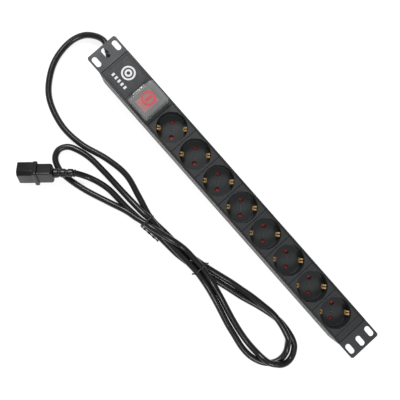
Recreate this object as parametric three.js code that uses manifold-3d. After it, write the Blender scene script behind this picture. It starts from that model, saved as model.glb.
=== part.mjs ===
// Rack power strip: an aluminium channel with eight earthed sockets, a guarded rocker switch,
// two mounting ears and a mains lead tied into a hank. Millimetres, +Z is the side the sockets face.
// X runs along the strip, Y across it. The strip lies on its back on z = 0, centred on x = y = 0.
import * as THREE from 'three';
import { mergeVertices } from 'three/addons/utils/BufferGeometryUtils.js';
import Module from 'manifold-3d';

const wasm = await Module();
wasm.setup();

// ---- Driving dimensions ----
const rackWidth = 482.6; // outer edge of one ear to outer edge of the other
const bodyLength = 433.4; // channel length
const bodyWidth = 44;
const bodyHeight = 44.4;
const wall = 1.8; // channel wall
const gap = 0.3; // clearance kept between neighbouring pieces
const faceZ = 44; // top of the module faces
const faceHalfWidth = 19.4; // module face between the channel's lips
const lipInner = 19.8; // where the lips start
const lipDepth = 2.2;
const skirtHalfWidth = 19.9; // module flange caught under the lips
const earSheet = 2; // ear steel thickness
const slotLength = 14.1;
const slotWidth = 6.8;
const slotPitch = 15.8;
const socketCount = 8;
const socketPitch = 42.7;
const firstSocketX = -112.2;
const cupRadius = 18.95;
const cupDepth = 17.1;
const pinSpacing = 19;
const pinHoleRadius = 2.65;
const pinLineAngle = -Math.PI / 4; // the two pins stand on a diagonal of the module
const switchX = -155;
const coverHingeX = -172;
const coverHingeZ = 46;
const coverTopZ = 56.4;
const rockerPivotZ = 40;
const rockerTilt = 12; // degrees either side of level
const cableZ = 20; // height of the lead where it leaves the end plate
const cordDiameter = 8;
const plugRoll = -28; // degrees the plug is rolled about its own axis
const plugAxisZ = 16.7;

const halfLength = bodyLength / 2;
const halfWidth = bodyWidth / 2;
const flangeZ = bodyHeight - lipDepth - gap; // top of the flange under the lips
const cupFloorZ = faceZ - cupDepth;

// ---- Materials ----
function finish(color, roughness, metalness = 0) {
  return new THREE.MeshStandardMaterial({ color, roughness, metalness });
}
const blackAluminium = finish(0x2b2c2d, 0.5, 0.6);
const blackSteel = finish(0x3a3d40, 0.45, 0.5);
const zincSteel = finish(0x9a9c9e, 0.35, 0.9);
const blackPlastic = finish(0x303234, 0.6);
const whitePlastic = finish(0xd8d6cf, 0.55);
const redPlastic = finish(0xb01f2a, 0.4);
const brass = finish(0xc89a4a, 0.3, 0.9);
const blackRubber = finish(0x1c1c1d, 0.55);
const clearPlastic = new THREE.MeshStandardMaterial({ color: 0xbcc4c8, roughness: 0.12, transparent: true, opacity: 0.4 });

// ---- Joining, cutting and placing ----
function solidOf(geometry) {
  const bare = geometry.clone();
  bare.deleteAttribute('normal');
  bare.deleteAttribute('uv');
  const merged = mergeVertices(bare, 1e-4);
  const vertProperties = new Float32Array(merged.attributes.position.array);
  const triVerts = new Uint32Array(merged.index.array);
  return new wasm.Manifold(new wasm.Mesh({ numProp: 3, vertProperties, triVerts }));
}

function geometryOf(solid) {
  const mesh = solid.getMesh();
  const geometry = new THREE.BufferGeometry();
  geometry.setAttribute('position', new THREE.BufferAttribute(mesh.vertProperties, 3));
  geometry.setIndex(new THREE.BufferAttribute(mesh.triVerts, 1));
  geometry.computeVertexNormals();
  return geometry;
}

function join(geometries) {
  return geometries.map(solidOf).reduce((whole, piece) => whole.add(piece));
}

function cut(whole, geometries) {
  return geometries.map(solidOf).reduce((rest, piece) => rest.subtract(piece), whole);
}

const strip = new THREE.Group();

function place(name, shape, material, parent = strip) {
  const geometry = shape.isBufferGeometry ? shape : geometryOf(shape);
  const mesh = new THREE.Mesh(geometry, material);
  mesh.name = name;
  parent.add(mesh);
  return mesh;
}

// ---- Basic forms ----
function block(x0, x1, y0, y1, z0, z1) {
  const box = new THREE.BoxGeometry(x1 - x0, y1 - y0, z1 - z0);
  return box.translate((x0 + x1) / 2, (y0 + y1) / 2, (z0 + z1) / 2);
}

// A cylinder, or a cone when the end radius differs, from one point to another.
function rod(radius, from, to, sides = 16, endRadius = radius) {
  const a = new THREE.Vector3(...from);
  const b = new THREE.Vector3(...to);
  const along = b.clone().sub(a);
  const bar = new THREE.CylinderGeometry(endRadius, radius, along.length(), sides);
  const turn = new THREE.Quaternion().setFromUnitVectors(new THREE.Vector3(0, 1, 0), along.normalize());
  bar.applyQuaternion(turn);
  const middle = a.add(b).multiplyScalar(0.5);
  return bar.translate(middle.x, middle.y, middle.z);
}

function polygon(points) {
  return new THREE.Shape(points.map(([x, y]) => new THREE.Vector2(x, y)));
}

// A rectangle with rounded corners, centred on (0, 0).
function roundedRectangle(width, height, radius, Kind = THREE.Shape) {
  const outline = new Kind();
  const x = width / 2 - radius;
  const y = height / 2 - radius;
  outline.absarc(x, y, radius, 0, Math.PI / 2);
  outline.absarc(-x, y, radius, Math.PI / 2, Math.PI);
  outline.absarc(-x, -y, radius, Math.PI, 1.5 * Math.PI);
  outline.absarc(x, -y, radius, 1.5 * Math.PI, 2 * Math.PI);
  outline.closePath();
  return outline;
}

// A shape drawn as (x, y), given a thickness upwards from z0.
function plate(shape, z0, thickness, curveSegments = 4) {
  const slab = new THREE.ExtrudeGeometry(shape, { depth: thickness, bevelEnabled: false, curveSegments });
  return slab.translate(0, 0, z0);
}

// A shape drawn as (y, z), extruded along X from x0.
function alongX(shape, x0, length, curveSegments = 4) {
  const bar = new THREE.ExtrudeGeometry(shape, { depth: length, bevelEnabled: false, curveSegments });
  const axes = new THREE.Matrix4().makeBasis(
    new THREE.Vector3(0, 1, 0),
    new THREE.Vector3(0, 0, 1),
    new THREE.Vector3(1, 0, 0),
  );
  return bar.applyMatrix4(axes).translate(x0, 0, 0);
}

// The outline of a bent strip of sheet metal whose middle line runs through the points.
function bentStrip(points, thickness) {
  const middle = points.map(([x, y]) => new THREE.Vector2(x, y));
  const offsets = middle.map((point, i) => {
    const before = middle[Math.max(i - 1, 0)];
    const after = middle[Math.min(i + 1, middle.length - 1)];
    const incoming = point.clone().sub(before).normalize();
    const outgoing = after.clone().sub(point).normalize();
    const along = incoming.add(outgoing).normalize();
    const previous = i > 0 ? point.clone().sub(before).normalize() : along;
    const stretch = 1 / Math.max(0.5, Math.abs(along.dot(previous)));
    return new THREE.Vector2(-along.y, along.x).multiplyScalar((thickness / 2) * stretch);
  });
  const left = middle.map((point, i) => point.clone().add(offsets[i]));
  const right = middle.map((point, i) => point.clone().sub(offsets[i]));
  return new THREE.Shape([...right, ...left.reverse()]);
}

// A round cable along a smooth curve through the points.
function cable(points, diameter, steps, sides) {
  const path = new THREE.CatmullRomCurve3(points.map((p) => new THREE.Vector3(...p)), false, 'centripetal');
  const ring = [];
  for (let i = 0; i < sides; i += 1) {
    const angle = (2 * Math.PI * i) / sides;
    ring.push(new THREE.Vector2(Math.cos(angle), Math.sin(angle)).multiplyScalar(diameter / 2));
  }
  return new THREE.ExtrudeGeometry(new THREE.Shape(ring), { steps, extrudePath: path, bevelEnabled: false });
}

// ---- Aluminium channel: floor, two ribbed walls, lips over the modules, two screw ports ----
const portY = 16.4;
const portZ = 4.6;
const portRadius = 3.2;
const screwRadius = 1.45;
{
  const grooveDepth = 0.5;
  const grooveWidth = 1.2;
  const grooveHeights = [8, 13, 18, 23, 28, 33, 38];
  const lipGrooveY = 20.9;
  const lipGrooveWidth = 0.6;
  const side = [[halfWidth - 0.6, 0], [halfWidth, 0.6]];
  for (const z of grooveHeights) {
    side.push([halfWidth, z - grooveWidth / 2], [halfWidth - grooveDepth, z - grooveWidth / 4]);
    side.push([halfWidth - grooveDepth, z + grooveWidth / 4], [halfWidth, z + grooveWidth / 2]);
  }
  side.push([halfWidth, bodyHeight - 0.5], [halfWidth - 0.5, bodyHeight]);
  side.push([lipGrooveY + lipGrooveWidth / 2, bodyHeight], [lipGrooveY + lipGrooveWidth / 2, bodyHeight - 0.5]);
  side.push([lipGrooveY - lipGrooveWidth / 2, bodyHeight - 0.5], [lipGrooveY - lipGrooveWidth / 2, bodyHeight]);
  side.push([lipInner, bodyHeight], [lipInner, bodyHeight - lipDepth]);
  side.push([halfWidth - wall, bodyHeight - lipDepth], [halfWidth - wall, wall]);
  const mirrored = side.map(([y, z]) => [-y, z]).reverse();
  const profile = alongX(polygon([...side, ...mirrored]), -halfLength, bodyLength);
  const ports = [-portY, portY].map((y) => rod(portRadius, [-halfLength, y, portZ], [halfLength, y, portZ], 12));
  const bores = [-portY, portY].map((y) =>
    rod(screwRadius + gap, [-halfLength - 1, y, portZ], [halfLength + 1, y, portZ], 12),
  );
  place('housing_channel', cut(join([profile, ...ports]), bores), blackAluminium);
}

// ---- Ears: steel angles whose leg closes the channel's end and whose flange bolts to the rack ----
const legInner = halfLength + gap;
const legOuter = legInner + earSheet;
const cableHoleRadius = 6.5;
for (const [name, end] of [['ear_left', -1], ['ear_right', 1]]) {
  const reach = rackWidth / 2 - legInner;
  const flangeShape = roundedRectangle(reach, bodyWidth - 0.4, 3);
  const middleX = end * (legInner + reach / 2);
  const flange = plate(flangeShape, bodyHeight - earSheet, earSheet).translate(middleX, 0, 0);
  const legFrom = Math.min(end * legInner, end * legOuter);
  const leg = block(legFrom, legFrom + earSheet, -halfWidth + 0.2, halfWidth - 0.2, gap, bodyHeight);
  const openings = [];
  for (const row of [-1, 0, 1]) {
    const slotX = end * (row === 0 ? 231.8 : 230.5);
    const slot = plate(roundedRectangle(slotLength, slotWidth, slotWidth / 2 - 0.01), bodyHeight - 5, 10);
    openings.push(slot.translate(slotX, row * slotPitch, 0));
  }
  for (const y of [-portY, portY]) {
    openings.push(rod(screwRadius + gap, [end * (legInner - 2), y, portZ], [end * (legOuter + 2), y, portZ], 12));
  }
  if (end < 0) {
    openings.push(rod(cableHoleRadius, [-legInner + 2, 0, cableZ], [-legOuter - 2, 0, cableZ], 24));
  }
  place(name, cut(join([flange, leg]), openings), blackSteel);

  for (const [side, y] of [['front', -portY], ['rear', portY]]) {
    const headX = end * (legOuter + gap);
    const shank = rod(screwRadius, [headX, y, portZ], [headX - end * 14, y, portZ], 10);
    const head = rod(3, [headX, y, portZ], [headX + end * 2.2, y, portZ], 16, 2.2);
    place(`screw_${name.slice(4)}_${side}`, join([shank, head]), zincSteel);
  }
}

// ---- Blank label module over the wiring space ----
// A module's face sits between the lips and its wider flange is caught under them.
function moduleShell(x0, x1, bottomZ, thickness) {
  const face = block(x0, x1, -faceHalfWidth, faceHalfWidth, flangeZ - 1, faceZ);
  const skirt = block(x0, x1, -skirtHalfWidth, skirtHalfWidth, bottomZ, flangeZ);
  const hollow = block(
    x0 + thickness,
    x1 - thickness,
    -skirtHalfWidth + thickness,
    skirtHalfWidth - thickness,
    bottomZ - 1,
    flangeZ - 1,
  );
  return cut(join([face, skirt]), [hollow]);
}

const labelX0 = -halfLength + gap;
const labelX1 = -175;
const labelPanel = block(labelX0 + 2.6, labelX1 - 2.6, -faceHalfWidth + 2, faceHalfWidth - 2, faceZ - 0.4, faceZ + 1);
place('label_plate', cut(moduleShell(labelX0, labelX1, 31, 1.5), [labelPanel]), blackPlastic);

// ---- Switch module: bezel, switch body, rocker, terminals, clear cover and its hinge pin ----
const bezelX0 = labelX1 + gap;
const bezelX1 = -133.9;
const switchHalfX = 10.9;
const switchHalfY = 14.9;
const knuckleY = [9, 13]; // where each bezel knuckle starts and ends, either side of the middle
const hingeBarrelRadius = 1.5;
const hingePinRadius = 0.8;
{
  const opening = block(
    switchX - switchHalfX - gap,
    switchX + switchHalfX + gap,
    -switchHalfY - gap,
    switchHalfY + gap,
    20,
    50,
  );
  const knuckles = [];
  for (const side of [-1, 1]) {
    const [near, far] = knuckleY.map((y) => side * y);
    knuckles.push(rod(hingeBarrelRadius, [coverHingeX, near, coverHingeZ], [coverHingeX, far, coverHingeZ], 12));
    const foot = [Math.min(near, far), Math.max(near, far)];
    knuckles.push(block(coverHingeX - 1.5, coverHingeX + 1.5, ...foot, faceZ - 1, coverHingeZ));
  }
  const pinBore = rod(hingePinRadius + gap, [coverHingeX, -20, coverHingeZ], [coverHingeX, 20, coverHingeZ], 10);
  const shell = moduleShell(bezelX0, bezelX1, 34, 1.5).add(join(knuckles));
  place('switch_bezel', cut(shell, [opening, pinBore]), blackPlastic);
  const pinEnds = [-knuckleY[1], knuckleY[1]].map((y) => [coverHingeX, y, coverHingeZ]);
  place('cover_hinge_pin', rod(hingePinRadius, ...pinEnds, 10), zincSteel);
}

const rockerHalfX = 9;
{
  const wallX = 1.5;
  const body = block(
    switchX - switchHalfX,
    switchX + switchHalfX,
    -switchHalfY,
    switchHalfY,
    22,
    faceZ + gap + 0.5,
  );
  const flange = block(switchX - 12.6, switchX + 12.6, -16.6, 16.6, faceZ + gap, faceZ + 2);
  const well = block(
    switchX - switchHalfX + wallX,
    switchX + switchHalfX - wallX,
    -switchHalfY + wallX,
    switchHalfY - wallX,
    33,
    faceZ + 3,
  );
  const bearing = [switchX - switchHalfX + 0.4, switchX + switchHalfX - 0.4];
  const axleBore = rod(1.5, [bearing[0], 0, rockerPivotZ], [bearing[1], 0, rockerPivotZ], 12);
  place('switch_body', cut(join([body, flange]), [well, axleBore]), blackPlastic);

  // The rocker is drawn level about its pivot and then tipped to its off position.
  const level = polygon([
    [-8, -4],
    [8, -4],
    [12, 2],
    [11.3, 9.3],
    [5.6, 7.1],
    [0, 6.4],
    [-5.6, 7.1],
    [-11.3, 9.3],
    [-12, 2],
  ]);
  const paddle = alongX(level, -rockerHalfX, 2 * rockerHalfX);
  const axle = rod(1.2, [-rockerHalfX - 1.2, 0, 0], [rockerHalfX + 1.2, 0, 0], 12);
  const rocker = place('rocker', join([paddle, axle]), redPlastic);
  rocker.rotation.x = THREE.MathUtils.degToRad(rockerTilt);
  rocker.position.set(switchX, 0, rockerPivotZ);
}

const busY = pinSpacing / 2 / Math.SQRT2; // each busbar runs under one row of pins
const busBottomZ = 4.4;
const busTopZ = 5.2;
const inputTerminalX = switchX - 6;
const outputTerminalX = switchX + 6;
for (const [pole, side] of [['live', 1], ['neutral', -1]]) {
  const y = side * busY;
  const blade = (x, bottomZ) => block(x - 0.4, x + 0.4, y - 2.4, y + 2.4, bottomZ, 22 - gap);
  place(`switch_terminal_${pole}_in`, blade(inputTerminalX, 14), brass);
  place(`switch_terminal_${pole}_out`, blade(outputTerminalX, busTopZ + gap), brass);
}

{
  const x0 = -170;
  const x1 = -137.4;
  const middleX = (x0 + x1) / 2;
  const thickness = 1.4;
  const baseZ = faceZ + 2.3;
  const outerShape = roundedRectangle(x1 - x0, 37.8, 3);
  const innerShape = roundedRectangle(x1 - x0 - 2 * thickness, 37.8 - 2 * thickness, 1.8);
  const skirtBottom = faceZ + gap;
  const outer = plate(outerShape, skirtBottom, coverTopZ - skirtBottom - 1).translate(middleX, 0, 0);
  const crown = plate(roundedRectangle(x1 - x0 - 2, 35.8, 2.4), coverTopZ - 1.5, 1.5).translate(middleX, 0, 0);
  const hollow = plate(innerShape, skirtBottom - 1, coverTopZ - thickness - skirtBottom + 1);
  hollow.translate(middleX, 0, 0);
  const barrelEnd = knuckleY[0] - gap;
  const barrel = rod(
    hingeBarrelRadius,
    [coverHingeX, -barrelEnd, coverHingeZ],
    [coverHingeX, barrelEnd, coverHingeZ],
    12,
  );
  const web = block(coverHingeX, x0 + 1, -barrelEnd, barrelEnd, coverHingeZ - 1, baseZ + 1);
  const bore = rod(hingePinRadius + gap, [coverHingeX, -20, coverHingeZ], [coverHingeX, 20, coverHingeZ], 10);
  const shell = cut(join([outer, crown]), [hollow]);
  place('switch_cover', cut(shell.add(join([barrel, web])), [bore]), clearPlastic);
}

// ---- Socket modules, shutters and earth clips ----
// Everything about one socket is drawn round (0, 0), with the pins on the X axis and the earth
// clip on the Y axis, then turned so that the pins stand on the module's diagonal.
const chamberBottomZ = 9.6;
const floorBottomZ = cupFloorZ - 2.5;

function turned(geometry) {
  return geometry.rotateZ(pinLineAngle);
}

function socketSolid() {
  const half = socketPitch / 2 - 0.15;
  const face = block(-half, half, -faceHalfWidth, faceHalfWidth, flangeZ - 1, faceZ);
  const flange = block(-half, half, -skirtHalfWidth, skirtHalfWidth, flangeZ - 2, flangeZ);
  const tub = rod(cupRadius + 1.25, [0, 0, floorBottomZ], [0, 0, flangeZ], 48);
  const trimmed = solidOf(tub).intersect(
    solidOf(block(-half, half, -skirtHalfWidth, skirtHalfWidth, floorBottomZ - 1, faceZ)),
  );
  const chamber = turned(block(-16.5, 16.5, -11, 11, chamberBottomZ, floorBottomZ + 0.5));
  const chamberHollow = turned(block(-15.4, 15.4, -9.9, 9.9, chamberBottomZ - 1, floorBottomZ));
  const cup = rod(cupRadius, [0, 0, cupFloorZ], [0, 0, faceZ + 1], 48);
  const boss = rod(1.7, [0, 0, floorBottomZ - 3.4], [0, 0, floorBottomZ + 0.5], 10);
  const cuts = [cup];
  for (const side of [-1, 1]) {
    const pinX = (side * pinSpacing) / 2;
    cuts.push(turned(rod(pinHoleRadius, [pinX, 0, floorBottomZ - 1], [pinX, 0, cupFloorZ + 1], 14)));
    const near = side * 16.5;
    const far = side * 21;
    cuts.push(turned(block(-4.2, 4.2, Math.min(near, far), Math.max(near, far), floorBottomZ - 1, 40.2)));
    for (const rib of [-6.4, 4.2]) {
      const from = side * (cupRadius - 1.4);
      const to = side * (cupRadius + 0.3);
      cuts.push(turned(block(Math.min(from, to), Math.max(from, to), rib, rib + 2.2, faceZ - 3, faceZ + 1)));
    }
  }
  const hollowChamber = cut(solidOf(chamber), [chamberHollow]);
  const shell = join([face, flange]).add(trimmed).add(hollowChamber);
  return cut(shell, cuts).add(solidOf(boss));
}

function shutterSolid() {
  const bottom = floorBottomZ - 2.4;
  const top = floorBottomZ - 0.4;
  const bar = turned(block(-11.6, 11.6, -3.25, 3.25, bottom, top));
  const hub = rod(5, [0, 0, bottom], [0, 0, top], 20);
  const hole = rod(2, [0, 0, bottom - 1], [0, 0, top + 1], 12);
  return cut(join([bar, hub]), [hole]);
}

// A strap under the chamber whose two ends rise through the cup wall, bow inwards and are forked.
function earthClip() {
  const rise = [
    [17.4, 8.6],
    [17.4, 27.6],
    [13.9, 34.2],
    [15.2, 37.2],
    [18.2, 39.4],
  ];
  const mirrored = rise.map(([r, z]) => [-r, z]).reverse();
  const strap = alongX(bentStrip([...mirrored, ...rise], 0.8), -3.5, 7);
  const forks = [block(-1.1, 1.1, 14.6, 20, 30, 42), block(-1.1, 1.1, -20, -14.6, 30, 42)];
  return cut(solidOf(strap), forks).rotate([0, 0, THREE.MathUtils.radToDeg(pinLineAngle)]);
}

const socketBody = socketSolid();
const shutterBody = shutterSolid();
const clipBody = earthClip();
const socketX = Array.from({ length: socketCount }, (_, i) => firstSocketX + socketPitch * i);
for (let i = 0; i < socketCount; i += 1) {
  const module = new THREE.Group();
  module.position.x = socketX[i];
  strip.add(module);
  place(`socket_module_${i + 1}`, socketBody, blackPlastic, module);
  place(`shutter_${i + 1}`, shutterBody, redPlastic, module);
  place(`earth_clip_${i + 1}`, clipBody, brass, module);
}

// ---- Busbars with a contact sleeve under every pin hole, earth rail, insulating strip ----
const railEndX = socketX[socketCount - 1] + 16;
for (const [pole, side] of [['live', 1], ['neutral', -1]]) {
  const y = side * busY;
  const bar = block(outputTerminalX - 3, railEndX, y - 2.5, y + 2.5, busBottomZ, busTopZ);
  const sleeveX = socketX.map((x) => x - side * busY);
  const sleeves = sleeveX.map((x) => rod(3.1, [x, y, busTopZ - 0.4], [x, y, 20.5], 10));
  const bores = sleeveX.map((x) => rod(2.4, [x, y, busTopZ], [x, y, 21], 10));
  place(`${pole}_busbar`, cut(join([bar, ...sleeves]), bores), brass);
}
place('earth_rail', block(outputTerminalX - 3, railEndX, -2.6, 2.6, 6.8, 7.8), brass);
place('insulating_strip', block(-165, 212, -12.5, 12.5, wall + gap, busBottomZ - gap), whitePlastic);

// ---- End filler between the last socket and the right ear ----
{
  const x0 = socketX[socketCount - 1] + socketPitch / 2 + 0.15;
  const x1 = halfLength - gap;
  const ridge = block(x0 + 3, x0 + 4.2, -faceHalfWidth + 0.8, faceHalfWidth - 0.8, faceZ - 0.5, faceZ + 0.4);
  place('end_filler', moduleShell(x0, x1, 32, 1.2).add(solidOf(ridge)), blackPlastic);
}

// ---- Cable gland through the left ear, with its tapered strain relief ----
const glandFace = -legOuter - gap - 3;
{
  const flange = rod(8.6, [glandFace, 0, cableZ], [-legOuter - gap, 0, cableZ], 24);
  const neck = rod(cableHoleRadius - gap, [-legOuter - 1, 0, cableZ], [-halfLength + 6, 0, cableZ], 24);
  const lockRing = rod(8.6, [-halfLength + 0.6, 0, cableZ], [-halfLength + 4, 0, cableZ], 6);
  place('cable_gland', join([flange, neck, lockRing]), blackRubber);
}
const reliefStart = [glandFace - 3, 1.2, cableZ];
const reliefEnd = [-243, 9, 17];
place('gland_strain_relief', rod(6, reliefStart, reliefEnd, 16, 4.7), blackRubber);

// ---- Wires inside, from the gland to the switch and the earth rail ----
const wireStartX = -halfLength + 7;
const wireDiameter = 2.8;
for (const [pole, side] of [['live', 1], ['neutral', -1]]) {
  const route = [
    [wireStartX, side * 2.6, 21],
    [wireStartX + 10, side * 5, 19],
    [wireStartX + 26, side * 6.5, 13],
    [wireStartX + 44, side * busY, 11],
    [inputTerminalX, side * busY, 11.6],
  ];
  place(`${pole}_wire`, cable(route, wireDiameter, 12, 8), blackRubber);
}
const earthRoute = [
  [wireStartX, 0, 17],
  [wireStartX + 12, 0, 15],
  [wireStartX + 26, 0, 9.5],
  [wireStartX + 44, 0, 7.4],
  [outputTerminalX - 3 - gap, 0, 7.3],
];
place('earth_wire', cable(earthRoute, wireDiameter, 12, 8), blackRubber);

// ---- Mains lead: out of the gland, into the hank, two turns and a small loop, to the plug ----
const onFloor = cordDiameter / 2 + 0.3; // centre height of a strand lying on the surface
const onTie = onFloor + 1.8; // the same where a tie passes underneath
const second = onFloor + cordDiameter + 0.15; // a strand lying on another
const third = second + cordDiameter + 0.15; // a strand crossing two others
const leadOut = [
  [-244.3, 9.4, 16.8],
  [-255, 11.6, 14.6],
  [-266, 8.5, 11],
  [-278, -1, 7],
  [-284, -17, onFloor + 0.5],
  [-281.5, -42, onFloor],
  [-271.5, -63.5, onFloor],
  [-249, -86.5, onFloor],
  [-212, -98.5, onFloor],
  [-178, -96.2, onFloor],
  [-141, -84, onFloor],
  [-110, -79.2, onFloor],
  [-78, -85.5, onFloor],
];
const firstTurn = [
  [-48, -92, onTie],
  [-20, -90.5, onFloor],
  [10, -88.6, onFloor],
  [41, -81.6, onTie],
  [82, -69.5, onFloor],
  [96, -66, onFloor + 2],
  [109, -62.6, onFloor + 4.4],
  [127, -59.2, second - 1.4],
  [142, -57, second],
  [153, -56.9, second],
  [163.2, -58.2, second],
  [172.5, -60.2, second - 0.7],
  [181.8, -63.2, 10.5],
  [188.2, -68.7, 6.4],
  [193.6, -75.2, onFloor],
  [196, -84, onFloor],
  [195, -92.8, onFloor],
  [190.5, -101, onFloor],
  [181.5, -108.4, onFloor],
  [167.5, -113.6, onFloor],
  [152, -114.3, onFloor],
  [133, -111.2, onFloor],
  [118, -108.5, onFloor],
  [86, -100.5, onFloor + 2.5],
  [62, -95.6, second],
  [41, -93.3, second + 1.4],
  [27, -93.5, second + 1.3],
  [12, -94.2, second + 0.2],
  [-14, -94.8, second],
  [-33, -93.9, second + 1.1],
  [-48, -93.2, second + 1.6],
  [-58, -94.6, second + 0.9],
];
const smallLoop = [
  [-80, -96, onFloor + 3],
  [-106, -96.8, onFloor],
  [-132, -97.4, onFloor],
  [-157, -99.4, onFloor],
  [-173.2, -104, onFloor],
  [-185.2, -110.8, onFloor],
  [-189.8, -121.4, onFloor],
  [-185.8, -131, onFloor],
  [-175.6, -136.6, onFloor],
  [-160.8, -137.6, onFloor],
  [-132.4, -131.3, onFloor],
  [-100, -119, onFloor + 2],
];
const secondTurn = [
  [-74, -108.6, second - 0.4],
  [-60, -105, second + 1.6],
  [-48, -101.1, third - 4.4],
  [-41.5, -99.4, third - 1.5],
  [-35, -97.5, third + 0.2],
  [-27, -95.2, third + 0.7],
  [-19, -92.8, third + 0.2],
  [-12, -90.7, third - 0.9],
  [-5, -88.7, third - 3],
  [3, -86.9, second + 1.6],
  [13, -85.6, second + 0.5],
  [26, -85.2, second + 1.4],
  [41, -85, second + 1.4],
  [54, -86.4, second + 1.4],
  [64, -87.9, second + 0.4],
  [86, -92.2, onFloor + 2.5],
  [118, -99.8, onFloor],
  [140, -103.5, onFloor],
  [156, -104.7, onFloor],
  [171, -104.3, onFloor + 2],
  [179.5, -103.2, second - 1.9],
  [187.5, -100.9, second],
  [194, -96.4, second],
  [199.3, -91.6, second - 0.9],
  [202.9, -86.4, onFloor + 4.3],
  [204.3, -81.2, onFloor + 1.8],
  [204, -76, onFloor + 0.3],
  [201.5, -70.3, onFloor],
  [197.4, -64.9, onFloor],
  [193.2, -61.5, onFloor],
  [186.2, -58.8, onFloor],
  [173, -56.5, onFloor],
  [160, -56.2, onFloor],
  [147.3, -58.3, onFloor],
  [126, -64.2, onFloor],
  [104, -71.9, onFloor],
  [82, -78, onFloor],
  [41, -90, onTie],
];
const toPlug = [
  [10, -97.2, onFloor],
  [-20, -99.4, onFloor],
  [-48, -102.6, onTie],
  [-78, -106, onFloor],
  [-110, -107.6, onFloor],
  [-126, -111.5, onFloor + 0.3],
  [-137.6, -116.2, 5.9],
  [-145.6, -120.6, 9.8],
  [-150.3, -123.8, 14.1],
  [-153.9, -126.9, 16.5],
];
const leadRoute = [...leadOut, ...firstTurn, ...smallLoop, ...secondTurn, ...toPlug];
place('mains_lead', cable(leadRoute, cordDiameter, 80, 8), blackRubber);

// ---- Ties round the hank: one thin flat loop at each end of the bundle ----
for (const [name, x, y, width, height] of [
  ['tie_near_plug', -48, -97.4, 24, 23.4],
  ['tie_near_loop', 41, -87.4, 23, 21],
]) {
  const outline = roundedRectangle(width, height, 4);
  outline.holes.push(roundedRectangle(width - 1.4, height - 1.4, 3.3, THREE.Path));
  place(name, alongX(outline, x - 1, 2).translate(0, y, height / 2 + 0.3), blackRubber);
}

// ---- Plug on the far end: moulded body with a collar and a shroud round three flat pins ----
// Drawn with its axis along X: the mouth is at x = 0 and the lead leaves towards +X.
const plugMouth = [-196.4, -176.6, plugAxisZ];
const plugHeading = THREE.MathUtils.degToRad(49.5);
const plug = new THREE.Group();
plug.position.set(...plugMouth);
plug.rotation.set(THREE.MathUtils.degToRad(plugRoll), 0, plugHeading, 'ZYX');
strip.add(plug);

const shroudLong = 25.4;
const shroudShort = 17.6;
const shroudChamfer = 4;
const shroudWall = 1.2;
const shroudLength = 18.8;
const shroudDepth = 16;

// Shroud section as (y, z): the long way stands along z, the chamfered corners on the -y side.
function shroudSection(inset) {
  const y = shroudShort / 2 - inset;
  const z = shroudLong / 2 - inset;
  const c = shroudChamfer - inset * (2 - Math.SQRT2);
  return polygon([[y, -z], [y, z], [-y + c, z], [-y, z - c], [-y, -z + c], [-y + c, -z]]);
}

{
  const shroud = alongX(shroudSection(0), 0, shroudLength + 1);
  const collar = alongX(roundedRectangle(20, 26.4, 3.5), shroudLength, 5);
  const rear = alongX(roundedRectangle(16, 20.5, 2.5), shroudLength + 4, 19.3);
  const mouth = alongX(shroudSection(shroudWall), -1, shroudDepth + 1);
  place('plug_body', cut(join([shroud, collar, rear]), [mouth]), blackRubber, plug);
  for (const [name, y, z] of [['live', 2.2, -7], ['neutral', 2.2, 7], ['earth', -2.6, 0]]) {
    const pin = block(5, shroudDepth - gap, y - 2, y + 2, z - 1, z + 1);
    place(`plug_pin_${name}`, pin, zincSteel, plug);
  }
  const reliefFrom = shroudLength + 23.3 + gap;
  place('plug_strain_relief', rod(5.4, [reliefFrom, 0, 0], [reliefFrom + 20.8, 0, 0], 16, 4.8), blackRubber, plug);
}

export default strip;
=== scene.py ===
import math

import bmesh
import bpy
import numpy as np
from mathutils import Matrix, Vector


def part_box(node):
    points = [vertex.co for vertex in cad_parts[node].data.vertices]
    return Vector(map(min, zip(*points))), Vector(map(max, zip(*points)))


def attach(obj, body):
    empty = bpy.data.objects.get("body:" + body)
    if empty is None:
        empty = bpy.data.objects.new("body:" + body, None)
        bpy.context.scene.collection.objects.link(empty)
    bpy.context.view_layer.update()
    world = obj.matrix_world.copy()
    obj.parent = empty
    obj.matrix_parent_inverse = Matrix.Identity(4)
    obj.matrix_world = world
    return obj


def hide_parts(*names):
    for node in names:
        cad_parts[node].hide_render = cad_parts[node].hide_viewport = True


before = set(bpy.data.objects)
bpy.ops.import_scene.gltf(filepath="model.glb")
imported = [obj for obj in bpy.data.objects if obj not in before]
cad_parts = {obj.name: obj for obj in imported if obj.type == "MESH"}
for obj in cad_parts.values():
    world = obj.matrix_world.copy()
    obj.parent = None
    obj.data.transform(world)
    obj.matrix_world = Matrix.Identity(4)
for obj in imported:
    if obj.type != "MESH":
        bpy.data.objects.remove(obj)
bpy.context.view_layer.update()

# ---- Studio ----
# A plain pale floor under the strip, a soft lamp on each side and an even pale room. The camera hangs
# above the lead's side of the strip and looks almost straight down.
floor_half = 3.0
floor_height = -0.0002
floor_corners = [(-1, -1), (1, -1), (1, 1), (-1, 1)]
floor_mesh = bpy.data.meshes.new("floor")
floor_mesh.from_pydata(
    [(floor_half * x, floor_half * y, floor_height) for x, y in floor_corners], [], [(0, 1, 2, 3)]
)
floor = bpy.data.objects.new("floor", floor_mesh)
bpy.context.scene.collection.objects.link(floor)
floor_paint = bpy.data.materials.new("floor_paint")
floor_paint.use_nodes = True
floor_shader = floor_paint.node_tree.nodes["Principled BSDF"]
floor_shader.inputs["Base Color"].default_value = (0.42, 0.42, 0.42, 1)
floor_shader.inputs["Roughness"].default_value = 0.9
floor_shader.inputs["Specular IOR Level"].default_value = 0.1
floor_shader.inputs["Emission Color"].default_value = (1, 1, 1, 1)
floor_shader.inputs["Emission Strength"].default_value = 0.80
floor_mesh.materials.append(floor_paint)

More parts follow.
